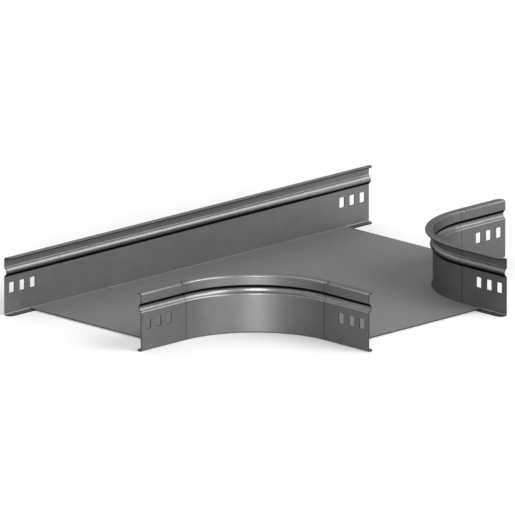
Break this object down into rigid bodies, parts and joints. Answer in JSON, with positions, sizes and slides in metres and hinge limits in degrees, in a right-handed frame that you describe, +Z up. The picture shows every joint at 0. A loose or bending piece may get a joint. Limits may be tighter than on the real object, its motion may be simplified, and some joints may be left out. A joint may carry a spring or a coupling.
{
  "type": "cable tray tee",
  "caption": "Flat equal tee for a sheet-steel cable tray: beaded side rails with inturned flanges, curved at the corners, on a flat floor plate.",
  "frame": {"origin": "under the middle of the tee, on the plane of the rails' undersides", "axes": "+X along the main run, -Y out along the branch, +Z up"},
  "size_m": [0.532, 0.367, 0.062],
  "materials": {
    "galvanised_steel": "satin zinc-coated sheet"
  },
  "bodies": {
    "root": {"straight_side_rail": "galvanised_steel", "left_corner_rail": "galvanised_steel", "right_corner_rail": "galvanised_steel", "bottom_plate": "galvanised_steel"}
  },
  "joints": []
}
